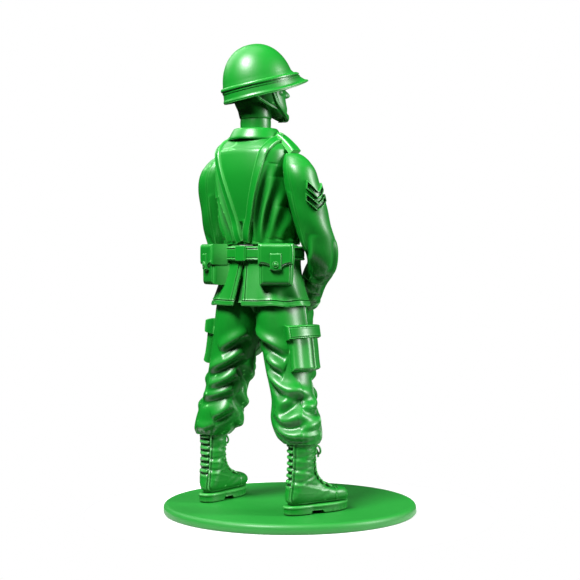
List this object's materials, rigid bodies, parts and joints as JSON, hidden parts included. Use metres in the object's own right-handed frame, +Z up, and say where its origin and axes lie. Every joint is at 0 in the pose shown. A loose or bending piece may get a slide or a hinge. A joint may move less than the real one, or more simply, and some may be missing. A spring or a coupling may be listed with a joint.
{
  "type": "action figure",
  "caption": "Poseable moulded plastic toy soldier in helmet, belted field jacket and laced boots, plugged onto a round base by pegs under its feet.",
  "frame": {"origin": "middle of the round base's flat underside", "axes": "+Z up; the figure faces -Y, and its own left hand is towards +X"},
  "size_m": [0.082, 0.082, 0.1499],
  "materials": {
    "green_body": "satin moulded plastic",
    "green_trim": "satin moulded plastic, raised details",
    "green_inner": "smooth moulded plastic",
    "base_green": "satin moulded plastic with a fine grain"
  },
  "bodies": {
    "stand": {"base_disc": "base_green", "left_foot_peg": "green_inner", "right_foot_peg": "green_inner"},
    "hips": {"pelvis_core": "green_inner", "trouser_seat": "green_body", "left_trouser_leg": "green_body", "right_trouser_leg": "green_body", "left_cargo_pocket": "green_body", "left_cargo_pocket_flap": "green_trim", "right_cargo_pocket": "green_body", "right_cargo_pocket_flap": "green_trim", "left_skirt_panel": "green_body", "right_skirt_panel": "green_body", "belt": "green_body", "belt_buckle": "green_trim", "belt_keeper": "green_trim", "left_belt_pouch": "green_body", "left_belt_pouch_flap": "green_trim", "right_belt_pouch": "green_body", "right_belt_pouch_flap": "green_trim"},
    "torso": {"jacket_front": "green_body", "jacket_back": "green_body", "collar": "green_trim", "left_suspender": "green_trim", "right_suspender": "green_trim", "left_shoulder_strap": "green_trim", "right_shoulder_strap": "green_trim", "left_chest_pocket": "green_body", "right_chest_pocket": "green_body", "waist_peg": "green_inner"},
    "neck": {"neck_post": "green_inner"},
    "head": {"head": "green_body", "helmet_shell": "green_body", "helmet_liner": "green_inner", "helmet_band": "green_trim", "chin_strap": "green_trim"},
    "left_boot": {"left_boot_sole": "green_inner", "left_boot_upper": "green_body", "left_boot_laces": "green_trim", "left_boot_swivel_peg": "green_inner"},
    "left_upper_arm": {"left_upper_sleeve": "green_body", "left_shoulder_peg": "green_inner"},
    "left_forearm": {"left_lower_sleeve": "green_body"},
    "left_hand": {"left_hand": "green_body"},
    "right_boot": {"right_boot_sole": "green_inner", "right_boot_upper": "green_body", "right_boot_laces": "green_trim", "right_boot_swivel_peg": "green_inner"},
    "right_upper_arm": {"right_upper_sleeve": "green_body", "right_shoulder_peg": "green_inner", "right_rank_patch": "green_trim"},
    "right_forearm": {"right_lower_sleeve": "green_body"},
    "right_hand": {"right_hand": "green_body"}
  },
  "joints": [
    {"name": "figure_lift", "type": "slide", "parent": "stand", "child": "hips", "axis": [0, 0, 1], "range_m": [0, 0.008]},
    {"name": "left_boot_turn", "type": "hinge", "parent": "hips", "child": "left_boot", "pos_m": [0.0217, 0.0124, 0.0032], "axis": [0, 0, 1], "range_deg": [-20, 20]},
    {"name": "right_boot_turn", "type": "hinge", "parent": "hips", "child": "right_boot", "pos_m": [-0.0157, 0.0161, 0.0032], "axis": [0, 0, 1], "range_deg": [-20, 20]},
    {"name": "waist_turn", "type": "hinge", "parent": "hips", "child": "torso", "pos_m": [0.003, 0.0112, 0.08635], "axis": [0, 0, 1], "range_deg": [-10, 10]},
    {"name": "neck_nod", "type": "hinge", "parent": "torso", "child": "neck", "pos_m": [0.003, 0.0146, 0.1201], "axis": [0.8192, -0.5736, 0], "range_deg": [-8, 8]},
    {"name": "head_turn", "type": "hinge", "parent": "neck", "child": "head", "pos_m": [0.003, 0.0146, 0.1277], "axis": [0, 0, 1], "range_deg": [-40, 100]},
    {"name": "left_shoulder_swing", "type": "hinge", "parent": "torso", "child": "left_upper_arm", "pos_m": [0.0159, 0.0135, 0.1097], "axis": [-1, 0, 0], "range_deg": [0, 100]},
    {"name": "left_elbow", "type": "hinge", "parent": "left_upper_arm", "child": "left_forearm", "pos_m": [0.0221, 0.0044, 0.0831], "axis": [-0.335, 0.8868, -0.3185], "range_deg": [-50, 0]},
    {"name": "left_wrist_turn", "type": "hinge", "parent": "left_forearm", "child": "left_hand", "pos_m": [0.0083, -0.0062, 0.0681], "axis": [0.6007, 0.4614, 0.6529], "range_deg": [-40, 20]},
    {"name": "right_shoulder_swing", "type": "hinge", "parent": "torso", "child": "right_upper_arm", "pos_m": [-0.0099, 0.0135, 0.1097], "axis": [-1, 0, 0], "range_deg": [0, 100]},
    {"name": "right_elbow", "type": "hinge", "parent": "right_upper_arm", "child": "right_forearm", "pos_m": [-0.0161, 0.0044, 0.0831], "axis": [-0.335, -0.8868, 0.3185], "range_deg": [-50, 0]},
    {"name": "right_wrist_turn", "type": "hinge", "parent": "right_forearm", "child": "right_hand", "pos_m": [-0.0023, -0.0062, 0.0681], "axis": [0.6007, -0.4614, -0.6529], "range_deg": [-40, 20]}
  ]
}
